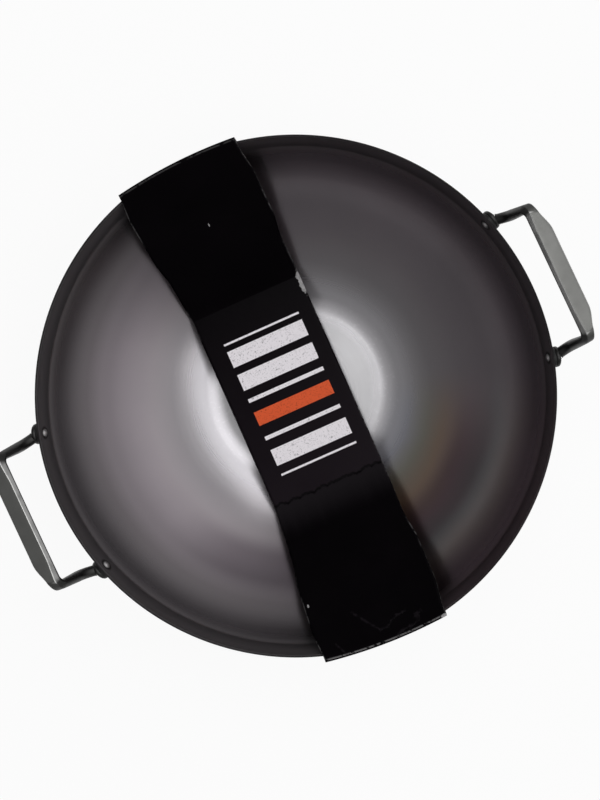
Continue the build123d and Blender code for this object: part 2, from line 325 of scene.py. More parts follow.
def bowl_outer_profile():
    """The outer surface from the middle of the base to the rim: r, z and the way inwards."""
    foot = (RIM_RADIUS - BAND_HEIGHT * tan(BAND_LEAN), BOWL_HEIGHT - BAND_HEIGHT)
    dx, dz = foot[0] - BASE_CORNER, foot[1]
    chord = hypot(dx, dz)
    rise = sqrt(WALL_RADIUS**2 - (chord / 2) ** 2)
    wall = (BASE_CORNER + dx / 2 - rise * dz / chord, dz / 2 + rise * dx / chord)
    knuckle_x = wall[0] + sqrt((WALL_RADIUS - KNUCKLE_RADIUS) ** 2 - (wall[1] - KNUCKLE_RADIUS) ** 2)
    along, inward = (sin(BAND_LEAN), cos(BAND_LEAN)), (-cos(BAND_LEAN), sin(BAND_LEAN))
    near = (foot[0] + inward[0] * BEND_RADIUS - wall[0], foot[1] + inward[1] * BEND_RADIUS - wall[1])
    dot = near[0] * along[0] + near[1] * along[1]
    gap = near[0] ** 2 + near[1] ** 2 - (WALL_RADIUS - BEND_RADIUS) ** 2
    slide = -dot - sqrt(dot**2 - gap)
    bend = (wall[0] + near[0] + slide * along[0], wall[1] + near[1] + slide * along[1])
    wall_start = atan2(KNUCKLE_RADIUS - wall[1], knuckle_x - wall[0])
    wall_end = atan2(bend[1] - wall[1], bend[0] - wall[0])
    base = [(knuckle_x * i / BASE_STEPS, 0.0, 0.0, 1.0) for i in range(BASE_STEPS)]
    points = base + arc((knuckle_x, KNUCKLE_RADIUS), KNUCKLE_RADIUS, -pi / 2, wall_start, KNUCKLE_STEPS)
    points += arc(wall, WALL_RADIUS, wall_start, wall_end, WALL_STEPS)[1:]
    points += arc(bend, BEND_RADIUS, wall_end, -BAND_LEAN, BEND_STEPS)[1:]
    start = points[-1]
    end = (RIM_RADIUS - RIM_ROUND * along[0], BOWL_HEIGHT - RIM_ROUND * along[1])
    for i in range(1, BAND_STEPS + 1):
        share = i / BAND_STEPS
        points.append(
            (start[0] + (end[0] - start[0]) * share, start[1] + (end[1] - start[1]) * share, *inward)
        )
    return points


def make_bowl():
    """The spun bowl as one closed mesh, with its rounded rim."""
    outer = bowl_outer_profile()
    inner = [(r + nr * SHEET, z + nz * SHEET) for r, z, nr, nz in outer]
    inward, along = (-cos(BAND_LEAN), sin(BAND_LEAN)), (sin(BAND_LEAN), cos(BAND_LEAN))
    rim = []
    for side, base in ((-1, outer[-1][:2]), (1, inner[-1])):
        centre = (base[0] - side * inward[0] * RIM_ROUND, base[1] - side * inward[1] * RIM_ROUND)
        turns = range(1, RIM_STEPS + 1) if side < 0 else range(RIM_STEPS)
        for i in turns:
            angle = i / RIM_STEPS * pi / 2 if side < 0 else pi / 2 - i / RIM_STEPS * pi / 2
            across, up = cos(angle) * RIM_ROUND * side, sin(angle) * RIM_ROUND
            r = centre[0] + across * inward[0] + up * along[0]
            rim.append((r, centre[1] + across * inward[1] + up * along[1]))
    profile = [p[:2] for p in outer[1:]] + rim + list(reversed(inner[1:]))
    verts = [(0, 0, 0), (0, 0, SHEET)]
    for r, z in profile:
        for i in range(BOWL_SEGMENTS):
            angle = 2 * pi * i / BOWL_SEGMENTS
            verts.append((r * cos(angle), r * sin(angle), z))
    faces = []
    rings = len(profile)
    for i in range(BOWL_SEGMENTS):
        j = (i + 1) % BOWL_SEGMENTS
        faces.append((0, 2 + j, 2 + i))
        last = 2 + (rings - 1) * BOWL_SEGMENTS
        faces.append((1, last + i, last + j))
        for ring in range(rings - 1):
            a = 2 + ring * BOWL_SEGMENTS
            b = a + BOWL_SEGMENTS
            faces.append((a + i, a + j, b + j, b + i))
    bowl = new_object("bowl_spun", verts, faces)
    outer_top = BOWL_HEIGHT - 2 * SHEET
    for polygon in bowl.data.polygons:
        outwards = polygon.normal.x * polygon.center.x + polygon.normal.y * polygon.center.y > 0
        under = polygon.center.z < SHEET / 2 and polygon.normal.z < 0
        if (outwards and polygon.center.z < outer_top) or under:
            polygon.material_index = 1
    return bowl


def wall_root(side, hand):
    """The middle of a rivet on the outer wall and the way out of the wall there."""
    y = hand * RIVET_SPACING / 2
    radius = RIM_RADIUS - RIVET_DROP * tan(BAND_LEAN)
    x = side * sqrt(radius**2 - y**2)
    place = Vector((x, y, BOWL_HEIGHT - RIVET_DROP))
    normal = Vector((cos(BAND_LEAN) * x / radius, cos(BAND_LEAN) * y / radius, -sin(BAND_LEAN)))
    return place, normal


def round_corner(before, here, after, radius):
    """A rounded corner: its turn, how far it sets back, and a function of the angle along it."""
    turn = before.angle(after)
    setback = radius * tan(turn / 2)
    bend_normal = (after - before * before.dot(after)).normalized()
    centre = here - before * setback + bend_normal * radius

    def at(angle):
        """A place on the bend and the tangent there."""
        place = centre - bend_normal * cos(angle) * radius + before * sin(angle) * radius
        return place, before * cos(angle) + bend_normal * sin(angle)

    return turn, setback, at


def rounded_path(points, radii):
    """A polyline with its inner corners rounded: places and tangents."""
    path = [(points[0], (points[1] - points[0]).normalized())]
    for start, here, end, radius in zip(points, points[1:], points[2:], radii):
        turn, _, at = round_corner((here - start).normalized(), here, (end - here).normalized(), radius)
        steps = max(FEWEST_PATH_STEPS, int(turn / PATH_STEP))
        path += [at(turn * k / steps) for k in range(steps + 1)]
    path.append((points[-1], (points[-1] - points[-2]).normalized()))
    return path


def smooth_share(share):
    """A share from none to one, eased at both ends."""
    share = min(max(share, 0.0), 1.0)
    return share * share * (3 - 2 * share)


def strap_outline(width, thickness):
    """A grip section: x towards its outer edge, y up, crisp above and soft below, bevelled inside."""
    w, t = width / 2, thickness / 2
    bevel = STRAP_CHAMFER * thickness / STRAP_THICKNESS
    corners = [
        (w, -t, STRAP_SOFT_ROUND),
        (w, t, STRAP_EDGE_ROUND),
        (-w + bevel, t, STRAP_INNER_ROUND),
        (-w, t - STRAP_CHAMFER_STEEPNESS * bevel, STRAP_EDGE_ROUND),
        (-w, -t, STRAP_SOFT_ROUND),
    ]
    outline = []
    for i, (x, y, radius) in enumerate(corners):
        here = Vector((x, y))
        before = (here - Vector(corners[i - 1][:2])).normalized()
        following = corners[(i + 1) % len(corners)]
        after = (Vector(following[:2]) - here).normalized()
        turn, _, at = round_corner(before, here, after, radius)
        outline += [at(turn * k / CORNER_STEPS)[0] for k in range(CORNER_STEPS + 1)]
        start = outline[-1]
        end = Vector(following[:2]) - after * following[2]
        outline += [start.lerp(end, k / SIDE_STEPS) for k in range(1, SIDE_STEPS)]
    return outline


def grip_section(reach):
    """The section at a distance along the loop from the grip's middle: points and the outset."""
    wide = smooth_share((STRAP_NARROW_FROM - reach) / (STRAP_NARROW_FROM - STRAP_WIDE_TO))
    crisp = smooth_share((STRAP_ROUND_FROM - reach) / (STRAP_ROUND_FROM - STRAP_CRISP_TO))
    width = STRAP_END_WIDTH + (STRAP_WIDTH - STRAP_END_WIDTH) * wide
    thickness = STRAP_END_THICKNESS + (STRAP_THICKNESS - STRAP_END_THICKNESS) * wide
    flattened = strap_outline(width, thickness)
    reference = strap_outline(2 * ROD_RADIUS, 2 * ROD_RADIUS)
    section = []
    for flat_point, rod_point in zip(flattened, reference):
        round_point = rod_point.normalized() * ROD_RADIUS
        section.append(round_point.lerp(flat_point, crisp))
    return section, STRAP_OUTSET * wide


def loop_reaches(path, grip_end):
    """Distances along one leg's path, measured from the grip's middle."""
    reaches = [grip_end]
    for i in range(len(path) - 1, 0, -1):
        reaches.append(reaches[-1] + (path[i][0] - path[i - 1][0]).length)
    return list(reversed(reaches))


def foot_shells(seat, normal, start, tangent):
    """Centres, directions and radii from the washer's face up the flange and the neck to the rod."""
    top = FOOT_THICKNESS - FOOT_EDGE_ROUND
    shells = [(seat, normal, FOOT_RADIUS - FOOT_EDGE_ROUND), (seat, normal, FOOT_RADIUS)]
    for k in range(FOOT_EDGE_STEPS + 1):
        angle = pi / 2 * k / FOOT_EDGE_STEPS
        height = top + FOOT_EDGE_ROUND * sin(angle)
        radius = FOOT_RADIUS - FOOT_EDGE_ROUND + FOOT_EDGE_ROUND * cos(angle)
        shells.append((seat + normal * height, normal, radius))
    lean = (tangent - normal * tangent.dot(normal)).normalized()
    neck = seat + normal * FOOT_THICKNESS + lean * NECK_SHIFT
    for k in range(NECK_STEPS + 1):
        share = k / NECK_STEPS
        radius = ROD_RADIUS + (NECK_RADIUS - ROD_RADIUS) * (1 - share) ** 2
        direction = normal.lerp(tangent, smooth_share(share)).normalized()
        shells.append((neck.lerp(start, share), direction, radius))
    return shells


def make_handle(side, name):
    """One forged loop: flanged feet, round legs and a grip hammered flat."""
    ends = []
    for hand in (1, -1):
        root, normal = wall_root(side, hand)
        seat = root + normal * WASHER_FACE
        corner = Vector((side * GRIP_REACH, hand * GRIP_CORNER_SPACING / 2, GRIP_HEIGHT))
        plan = Vector((corner.x - seat.x, corner.y - seat.y, 0)).normalized()
        direction = plan * cos(LEG_START_RISE) + Vector((0, 0, sin(LEG_START_RISE)))
        start = seat + direction * NECK_LENGTH
        ends.append((seat, normal, start, start + direction * LEG_ELBOW_REACH, corner))
    rear, front = ends
    points = [rear[2], rear[3], rear[4], front[4], front[3], front[2]]
    path = rounded_path(points, (LEG_ELBOW_RADIUS, GRIP_BEND_RADIUS, GRIP_BEND_RADIUS, LEG_ELBOW_RADIUS))
    half_way = len(path) // 2
    grip_end = abs(path[half_way][0].y)
    reaches = loop_reaches(path[:half_way], grip_end)
    stations = [(place, tangent, reach) for (place, tangent), reach in zip(path, reaches)]
    for i in range(1, GRIP_STATIONS):
        y = grip_end - 2 * grip_end * i / GRIP_STATIONS
        stations.append((Vector((side * GRIP_REACH, y, GRIP_HEIGHT)), Vector((0, -1, 0)), abs(y)))
    for (place, tangent), reach in zip(path[half_way:], reversed(reaches)):
        stations.append((place, tangent, reach))

    outwards = Vector((side * cos(STRAP_TILT), 0, -sin(STRAP_TILT)))
    rod_section, no_outset = grip_section(STRAP_ROUND_FROM)

    def ring(place, tangent, section, outset):
        """The section's points, set square to the path."""
        across = (outwards - tangent * outwards.dot(tangent)).normalized()
        up = across.cross(tangent)
        if up.z < 0:
            up = -up
        return [place + across * (outset + p.x) + up * p.y for p in section]

    def foot_rings(foot, tangent):
        seat, normal, start = foot[:3]
        found = []
        for place, direction, radius in foot_shells(seat, normal, start, tangent):
            found.append(ring(place, direction, [p * radius / ROD_RADIUS for p in rod_section], no_outset))
        return found

    rings = foot_rings(rear, path[0][1])[:-1]
    for place, tangent, reach in stations:
        rings.append(ring(place, tangent, *grip_section(reach)))
    rings += list(reversed(foot_rings(front, -path[-1][1])))[1:]
    count = len(rod_section)
    verts = [p for r in rings for p in r]
    faces = []
    for k in range(len(rings) - 1):
        for i in range(count):
            j = (i + 1) % count
            faces.append((k * count + i, k * count + j, (k + 1) * count + j, (k + 1) * count + i))
    faces.append(tuple(range(count)))
    faces.append(tuple(reversed(range((len(rings) - 1) * count, len(rings) * count))))
    handle = new_object(name, verts, faces)
    fix_normals(handle)
    return handle


def fix_normals(obj):
    """Makes the faces of a closed mesh point outwards."""
    mesh = bmesh.new()
    mesh.from_mesh(obj.data)
    bmesh.ops.recalc_face_normals(mesh, faces=mesh.faces)
    mesh.to_mesh(obj.data)
    mesh.free()


def sleeve_half(v):
    """Half the sleeve's width at a place along it."""
    v = abs(v)
    if v < SHOULDER_START or v > SHOULDER_END:
        return SLEEVE_HALF
    rise = min((v - SHOULDER_START) / SHOULDER_RAMP, (SHOULDER_END - v) / SHOULDER_RAMP, 1.0)
    return SLEEVE_HALF + (SLEEVE_SHOULDER_HALF - SLEEVE_HALF) * rise


def sleeve_corners(u):
    """The lower face's corners in a section along the sleeve: v and z."""
    inner_radius = RIM_RADIUS - SHEET * cos(BAND_LEAN)
    rest = BOWL_HEIGHT + SHEET * sin(BAND_LEAN) + SLEEVE_CLEARANCE
    reach = RIM_RADIUS + SLEEVE_CLEARANCE - FOLD_RADIUS + sqrt(FOLD_RADIUS**2 - (u - FOLD_APEX) ** 2)
    inner = sqrt(inner_radius**2 - u**2)
    crests = []
    for crease in CREASES:
        slope = (rest - PANEL_HEIGHT) / (inner - abs(crease))
        crests.append(rest + slope * (reach - inner))
    return [
        Vector((-reach, FLAP_END)),
        Vector((-reach, crests[0])),
        Vector((CREASES[0], PANEL_HEIGHT)),
        Vector((CREASES[1], PANEL_HEIGHT)),
        Vector((reach, crests[1])),
        Vector((reach, FLAP_END)),
    ]


def sleeve_line(u):
    """Points along the lower face in a section, with rounded creases: v and z."""
    corners = sleeve_corners(u)
    line, start = [], corners[0]
    for here, following, radius, steps in zip(corners[1:], corners[2:], SLEEVE_BENDS, SLEEVE_RUN_STEPS):
        before, after = (here - start).normalized(), (following - here).normalized()
        turn, setback, at = round_corner(before, here, after, radius)
        end = here - before * setback
        line += [start.lerp(end, k / steps) for k in range(steps)]
        line += [at(turn * k / SLEEVE_BEND_STEPS)[0] for k in range(SLEEVE_BEND_STEPS)]
        start = here + after * setback
    end, steps = corners[-1], SLEEVE_RUN_STEPS[-1]
    return line + [start.lerp(end, k / steps) for k in range(steps)] + [end]


def make_sleeve():
    """The folded card sleeve as one thin closed mesh."""
    columns, grid = SLEEVE_COLUMNS, []
    for j in range(columns):
        share = 2 * j / (columns - 1) - 1
        first = sleeve_line(SLEEVE_OFFSET + share * SLEEVE_HALF)
        column = []
        for i, p in enumerate(first):
            u = SLEEVE_OFFSET + share * sleeve_half(p.x)
            q = sleeve_line(u)[i] if abs(share) > 0 else p
            column.append((u, q.x, q.y))
        grid.append(column)
    rows = len(grid[0])
    lower = [Vector(grid[j][i]) for i in range(rows) for j in range(columns)]
    normals = []
    for i in range(rows):
        for j in range(columns):
            a = lower[i * columns + max(j - 1, 0)]
            b = lower[i * columns + min(j + 1, columns - 1)]
            c = lower[max(i - 1, 0) * columns + j]
            d = lower[min(i + 1, rows - 1) * columns + j]
            normals.append((b - a).cross(d - c).normalized())
    upper = [p + n * BOARD for p, n in zip(lower, normals)]
    turn_cos, turn_sin = cos(SLEEVE_TURN), sin(SLEEVE_TURN)
    verts = [
        (p.x * turn_cos - p.y * turn_sin, p.x * turn_sin + p.y * turn_cos, p.z) for p in lower + upper
    ]
    top = rows * columns
    faces, edge_faces = [], []
    for i in range(rows - 1):
        for j in range(columns - 1):
            a, b = i * columns + j, i * columns + j + 1
            c, d = (i + 1) * columns + j + 1, (i + 1) * columns + j
            faces.append((a, d, c, b))
            faces.append((top + a, top + b, top + c, top + d))
    for i in range(rows - 1):
        for j in (0, columns - 1):
            a, d = i * columns + j, (i + 1) * columns + j
            edge_faces.append((a, d, top + d, top + a) if j else (a, top + a, top + d, d))
    for j in range(columns - 1):
        for i in (0, rows - 1):
            a, b = i * columns + j, i * columns + j + 1
            edge_faces.append((a, b, top + b, top + a) if i == 0 else (a, top + a, top + b, b))
    sleeve = new_object("sleeve_card_folded", verts, faces + edge_faces)
    for polygon in sleeve.data.polygons[len(faces):]:
        polygon.use_smooth = False
        polygon.material_index = 1
    for polygon in list(sleeve.data.polygons)[:len(faces):2]:
        polygon.material_index = 2
    fix_normals(sleeve)
    return sleeve


def set_stops(elements, stops):
    """Gives a ramp its places and colours."""
    for position, _ in stops[len(elements):]:
        elements.new(position)
    for element, (position, colour) in zip(elements, stops):
        element.position = position
        element.color = (*colour, 1)


class Nodes:
    """A short way to write a material's node tree."""

    def __init__(self, name):
        self.material = bpy.data.materials.new(name)
        self.material.use_nodes = True
        self.tree = self.material.node_tree
        self.shader = self.tree.nodes["Principled BSDF"]

    def add(self, kind, **inputs):
        node = self.tree.nodes.new(kind)
        for key, value in inputs.items():
            self.put(node, key, value)
        return node

    def feed(self, socket, value):
        """Links a socket to another, or sets its value."""
        if isinstance(value, bpy.types.NodeSocket):
            self.tree.links.new(value, socket)
        else:
            socket.default_value = value

    def put(self, node, key, value):
        """Feeds a node's socket by name."""
        self.feed(node.inputs[key.replace("_", " ")], value)

    def math(self, operation, a, b=0.0):
        node = self.tree.nodes.new("ShaderNodeMath")
        node.operation = operation
        for socket, value in zip(node.inputs, (a, b)):
            self.feed(socket, value)
        return node.outputs[0]

    def product(self, *values):
        """Values or sockets multiplied together."""
        result = values[0]
        for value in values[1:]:
            result = self.math("MULTIPLY", result, value)
        return result

    def total(self, *values):
        """Values or sockets added together."""
        result = values[0]
        for value in values[1:]:
            result = self.math("ADD", result, value)
        return result

    def minus(self, a, b):
        """One value or socket less another."""
        return self.math("SUBTRACT", a, b)

    def vector_math(self, operation, a, b=(0, 0, 0)):
        node = self.tree.nodes.new("ShaderNodeVectorMath")
        node.operation = operation
        for socket, value in zip(node.inputs, (a, b)):
            self.feed(socket, value)
        return node.outputs["Value" if operation == "LENGTH" else "Vector"]

    def mix(self, share, a, b, blend="MIX"):
        """A colour mix."""
        node = self.tree.nodes.new("ShaderNodeMix")
        node.data_type = "RGBA"
        node.blend_type = blend
        for index, value in ((0, share), (6, a), (7, b)):
            self.feed(node.inputs[index], (*value, 1) if isinstance(value, tuple) else value)
        return node.outputs[2]

    def span(self, value, low, high, to_low=0.0, to_high=1.0, smooth=True):
        """A value's range mapped onto another, clamped."""
        node = self.tree.nodes.new("ShaderNodeMapRange")
        node.interpolation_type = "SMOOTHSTEP" if smooth else "LINEAR"
        for socket, item in zip(node.inputs, (value, low, high, to_low, to_high)):
            self.feed(socket, item)
        return node.outputs[0]

    def fall(self, value, low, high, smooth=True):
        """One below a range, falling to none above it."""
        return self.span(value, low, high, 1.0, 0.0, smooth)

    def clouded(self, cloud, lowest, highest):
        """A cloudy noise mapped onto a range."""
        return self.span(cloud, *CLOUD_RANGE, lowest, highest)

    def swing(self, noise, size):
        """A noise that swings both ways about nothing."""
        return self.product(self.minus(noise, NOISE_MIDDLE), size)

    def ramp(self, value, stops):
        """A colour that changes along a value from 0 to 1."""
        node = self.tree.nodes.new("ShaderNodeValToRGB")
        set_stops(node.color_ramp.elements, stops)
        self.tree.links.new(value, node.inputs[0])
        return node.outputs[0]

    def noise(self, vector, name):
        """A noise of the table."""
        scale, detail, rough = NOISES[name]
        node = self.add("ShaderNodeTexNoise", Vector=vector, Scale=scale, Detail=detail, Roughness=rough)
        return node.outputs[0]

    def vector(self):
        """The object's own coordinates."""
        return self.tree.nodes.new("ShaderNodeTexCoord").outputs["Object"]

    def place(self):
        """The object's own coordinates and their x, y and z."""
        vector = self.vector()
        parts = self.add("ShaderNodeSeparateXYZ", Vector=vector)
        return vector, parts.outputs[0], parts.outputs[1], parts.outputs[2]

    def combine(self, x, y, z):
        node = self.tree.nodes.new("ShaderNodeCombineXYZ")
        for socket, value in zip(node.inputs, (x, y, z)):
            self.feed(socket, value)
        return node.outputs[0]

    def bump(self, height, name, **normal):
        """A bump of the table, over another where one is given."""
        strength, distance = BUMPS[name]
        node = self.add("ShaderNodeBump", Strength=strength, Distance=distance, Height=height, **normal)
        return node.outputs[0]

    def finish(self, **inputs):
        for key, value in inputs.items():
            self.put(self.shader, key, value)
        return self.material


def rivet_distance(n, x, y, z):
    """How far a place lies from the axis of the nearest rivet."""
    root, normal = wall_root(1, 1)
    place = n.combine(n.math("ABSOLUTE", x), n.math("ABSOLUTE", y), z)
    away = n.vector_math("SUBTRACT", place, root)
    return n.vector_math("LENGTH", n.vector_math("CROSS_PRODUCT", away, normal))


def from_axis(n, x, y):
    """The distance from the bowl's axis."""
    return n.math("SQRT", n.total(n.product(x, x), n.product(y, y)))


def towards(n, cos_bearing, sin_bearing, bearing):
    """One in the way of a bearing, falling to minus one opposite it."""
    return n.total(n.product(cos_bearing, cos(bearing)), n.product(sin_bearing, sin(bearing)))


def bowl_material():
    """Spun carbon steel, blued by heat, with painted reflection, highlight and shade in its colour."""
    n = Nodes("bowl_steel")
    vector, x, y, z = n.place()
    radius = from_axis(n, x, y)
    cos_bearing, sin_bearing = n.math("DIVIDE", x, radius), n.math("DIVIDE", y, radius)
    spun_place = n.combine(
        n.product(n.total(radius, z), SPUN_SCALE),
        n.product(cos_bearing, SPUN_DRIFT),
        n.product(sin_bearing, SPUN_DRIFT),
    )
    spun = n.noise(spun_place, "spun")
    grain = n.noise(vector, "steel_grain")
    cloud = n.noise(vector, "steel_cloud")
    share = n.math("DIVIDE", radius, RIM_RADIUS)
    wavy = n.total(share, n.swing(cloud, WAVINESS))

    rough_knuckle = n.product(n.span(share, *KNUCKLE_IN), n.fall(share, *KNUCKLE_OUT), KNUCKLE_ROUGHNESS)
    rough_rim = n.span(share, *ROUGH_RIM_IN, WALL_ROUGHNESS, RIM_ROUGHNESS)
    rough_pattern = n.total(n.product(spun, SPUN_ROUGHNESS), n.product(cloud, CLOUD_ROUGHNESS))
    rough = n.total(rough_pattern, rough_rim, rough_knuckle)

    # Painted reflection and shade: lighter base and knuckle, darker wall and band below the rim, a painted
    # highlight at the rim's edge
    steel = n.ramp(share, BOWL_TONES_WITH_PAINTED_REFLECTION)
    # Painted light: the left handle's side of the bowl is made lighter
    left = n.fall(cos_bearing, *LEFT_SIDE_OUT)
    steel = n.mix(left, steel, n.ramp(share, LEFT_SIDE_PAINTED_LIGHT_GAINS), "MULTIPLY")
    pitted = n.product(n.span(share, *PITS_IN), n.fall(share, *PITS_OUT))
    pits = n.product(pitted, n.span(n.noise(vector, "steel_pits"), *PIT_SPAN))
    steel = n.mix(pits, steel, PIT_TONE)
    steel = n.mix(n.clouded(cloud, 0.0, CLOUD_STRENGTH), steel, CLOUD_TONE)
    hot_side = towards(n, cos_bearing, sin_bearing, HEAT_BEARING)
    heat = n.span(hot_side, cos(HEAT_SPREAD), 1.0, *HEAT_STRENGTHS)
    steel = n.mix(heat, steel, n.ramp(wavy, HEAT_TINTS), "MULTIPLY")
    # Painted shade: darker on the front half of the wall
    shade = n.product(
        n.span(towards(n, cos_bearing, sin_bearing, SHADE_BEARING), cos(SHADE_FROM), cos(SHADE_FULL)),
        n.span(share, *SHADE_IN),
        n.fall(share, *SHADE_OUT),
    )
    steel = n.mix(shade, steel, SHADE_TONE, "MULTIPLY")
    # Painted shade: a dark ring round each rivet's head
    ring = n.span(rivet_distance(n, x, y, z), RIVET_SHADE_START, RIVET_SHADE_END, RIVET_SHADE_STRENGTH, 0.0)
    steel = n.mix(ring, steel, RIVET_SHADE_TONE)

    normal = n.bump(grain, "steel_grain", Normal=n.bump(spun, "steel_spun"))
    bare = n.fall(share, *BARE_STEEL_OUT)
    return n.finish(
        Base_Color=steel, Metallic=bare, Roughness=rough, Normal=normal, Specular_IOR_Level=BOWL_SPECULAR
    )


def bowl_outside_material():
    """The bowl's outer side: the same steel, darker and less even."""
    n = Nodes("bowl_steel_outside")
    vector, x, y, z = n.place()
    radius = from_axis(n, x, y)
    far = n.math("MAXIMUM", radius, MM)
    along = n.product(n.total(radius, z), OUTER_SPUN_SCALE)
    spun = n.noise(n.combine(along, n.math("DIVIDE", x, far), n.math("DIVIDE", y, far)), "spun")
    cloud = n.noise(vector, "outside_cloud")
    steel = n.mix(cloud, *OUTSIDE_TONES)
    steel = n.mix(n.span(cloud, *OUTSIDE_TINT_SPAN), steel, OUTSIDE_TINT)
    rough = n.total(n.clouded(cloud, *OUTSIDE_ROUGHNESS), n.product(spun, OUTER_SPUN_ROUGHNESS))
    normal = n.bump(spun, "outside_spun")
    return n.finish(
        Base_Color=steel, Metallic=1.0, Roughness=rough, Normal=normal, Specular_IOR_Level=OUTSIDE_SPECULAR
    )


def forged_material():
    """Blackened forged steel: the grips' upper faces lighter from grinding and a painted highlight, with
    painted highlights on their inner edges and on the tops of the rods and bends.
    """
    n = Nodes("forged_steel")
    vector, x, y, _ = n.place()
    surface = n.tree.nodes.new("ShaderNodeNewGeometry").outputs["Normal"]
    facing = n.add("ShaderNodeSeparateXYZ", Vector=surface).outputs[2]
    cloud = n.noise(vector, "forged_cloud")
    grain = n.noise(vector, "forged_grain")
    inwards = n.minus(GRIP_REACH, n.math("ABSOLUTE", x))
    reach = n.minus(n.math("ABSOLUTE", y), n.product(inwards, FACE_SLANT))
    past_legs = n.span(n.math("ABSOLUTE", x), LEG_END, LEG_END + LEG_FADE)
    on_grip = n.product(n.fall(reach, FACE_END, FACE_END + FACE_FADE), past_legs)
    # Painted highlight: the grips' upper faces, found by the z of the normal, are lighter, partly from
    # grinding
    face = n.span(facing, *GROUND_AND_HIGHLIGHT_FACE_IN)
    # Painted highlight along the grips' inner edges
    edge_highlight = n.product(n.span(facing, *EDGE_HIGHLIGHT_IN), n.minus(1.0, face), on_grip)

    scale = n.mix(cloud, *SCALE_TONES)
    ground_and_highlight = n.mix(n.noise(vector, "ground_and_highlight"), *GROUND_AND_HIGHLIGHT_TONES)
    off_grip = n.minus(1.0, on_grip)
    # Painted highlight on the tops of the rods and bends
    rod_highlight = n.product(n.span(facing, *ROD_HIGHLIGHT_IN), past_legs, off_grip, ROD_HIGHLIGHT_STRENGTH)
    bare_and_highlight = n.math("MAXIMUM", n.product(face, on_grip), rod_highlight)
    colour = n.mix(bare_and_highlight, scale, ground_and_highlight)
    colour = n.mix(n.product(edge_highlight, n.span(cloud, *EDGE_HIGHLIGHT_SPAN)), colour, EDGE_HIGHLIGHT_TONE)
    rough = n.clouded(cloud, *FORGED_ROUGHNESS)
    normal = n.bump(grain, "forged_grain", Normal=n.bump(cloud, "forged_hammering"))
    return n.finish(Base_Color=colour, Metallic=1.0, Roughness=rough, Normal=normal)


def washer_material():
    """Black oxide steel."""
    n = Nodes("washer_steel")
    cloud = n.noise(n.vector(), "washer_cloud")
    colour = n.mix(cloud, *OXIDE_TONES)
    rough, normal = n.clouded(cloud, *WASHER_ROUGHNESS), n.bump(cloud, "washer")
    return n.finish(Base_Color=colour, Metallic=1.0, Roughness=rough, Normal=normal)


def rivet_material():
    """Domed steel heads, a little darkened: a painted highlight on the crown and painted shade on the skirt.
    """
    n = Nodes("rivet_steel")
    vector, x, y, z = n.place()
    cloud = n.noise(vector, "rivet_cloud")
    # Painted highlight on the crown, painted shade on the skirt
    crown_highlight = n.fall(rivet_distance(n, x, y, z), CROWN_HIGHLIGHT_START, CROWN_HIGHLIGHT_END)
    colour = n.mix(crown_highlight, SKIRT_SHADE_TONE, n.mix(cloud, *CROWN_HIGHLIGHT_TONES))
    rough, normal = n.clouded(cloud, *RIVET_ROUGHNESS), n.bump(cloud, "rivet")
    return n.finish(Base_Color=colour, Metallic=1.0, Roughness=rough, Normal=normal)


def across_and_along(n, x, y):
    """The card's own directions: across it and along it."""
    cos_turn, sin_turn = cos(SLEEVE_TURN), sin(SLEEVE_TURN)
    u = n.total(n.product(x, cos_turn), n.product(y, sin_turn))
    v = n.minus(n.product(y, cos_turn), n.product(x, sin_turn))
    return u, v


def between(n, value, middle, width):
    """One inside a strip about a middle, none outside."""
    return n.math("LESS_THAN", n.math("ABSOLUTE", n.minus(value, middle)), width / 2)


def from_segment(n, u, v, start, end):
    """How far a place is from a short line."""
    du, dv = end[0] - start[0], end[1] - start[1]
    length = hypot(du, dv)
    along_u, along_v = du / length, dv / length
    near_u, near_v = n.minus(u, start[0]), n.minus(v, start[1])
    along = n.total(n.product(near_u, along_u), n.product(near_v, along_v))
    off = n.math("ABSOLUTE", n.minus(n.product(near_u, along_v), n.product(near_v, along_u)))
    past = n.minus(n.math("ABSOLUTE", n.minus(along, length / 2)), length / 2)
    return n.math("MAXIMUM", off, past)


def card_print(n, u, v, vector, black):
    """The bars, a little worn, over the black."""
    stipple = n.span(n.noise(vector, "print_stipple"), *STIPPLE_SPAN)
    worn = n.span(n.noise(vector, "print_wear"), *WORN_SPAN)
    across = between(n, u, PRINT_MIDDLE, PRINT_WIDTH)
    colour = black
    for middle, height, ink in PRINT_BARS:
        mask = n.product(across, between(n, v, middle, height), stipple, worn)
        colour = n.mix(mask, colour, ink)
    return colour


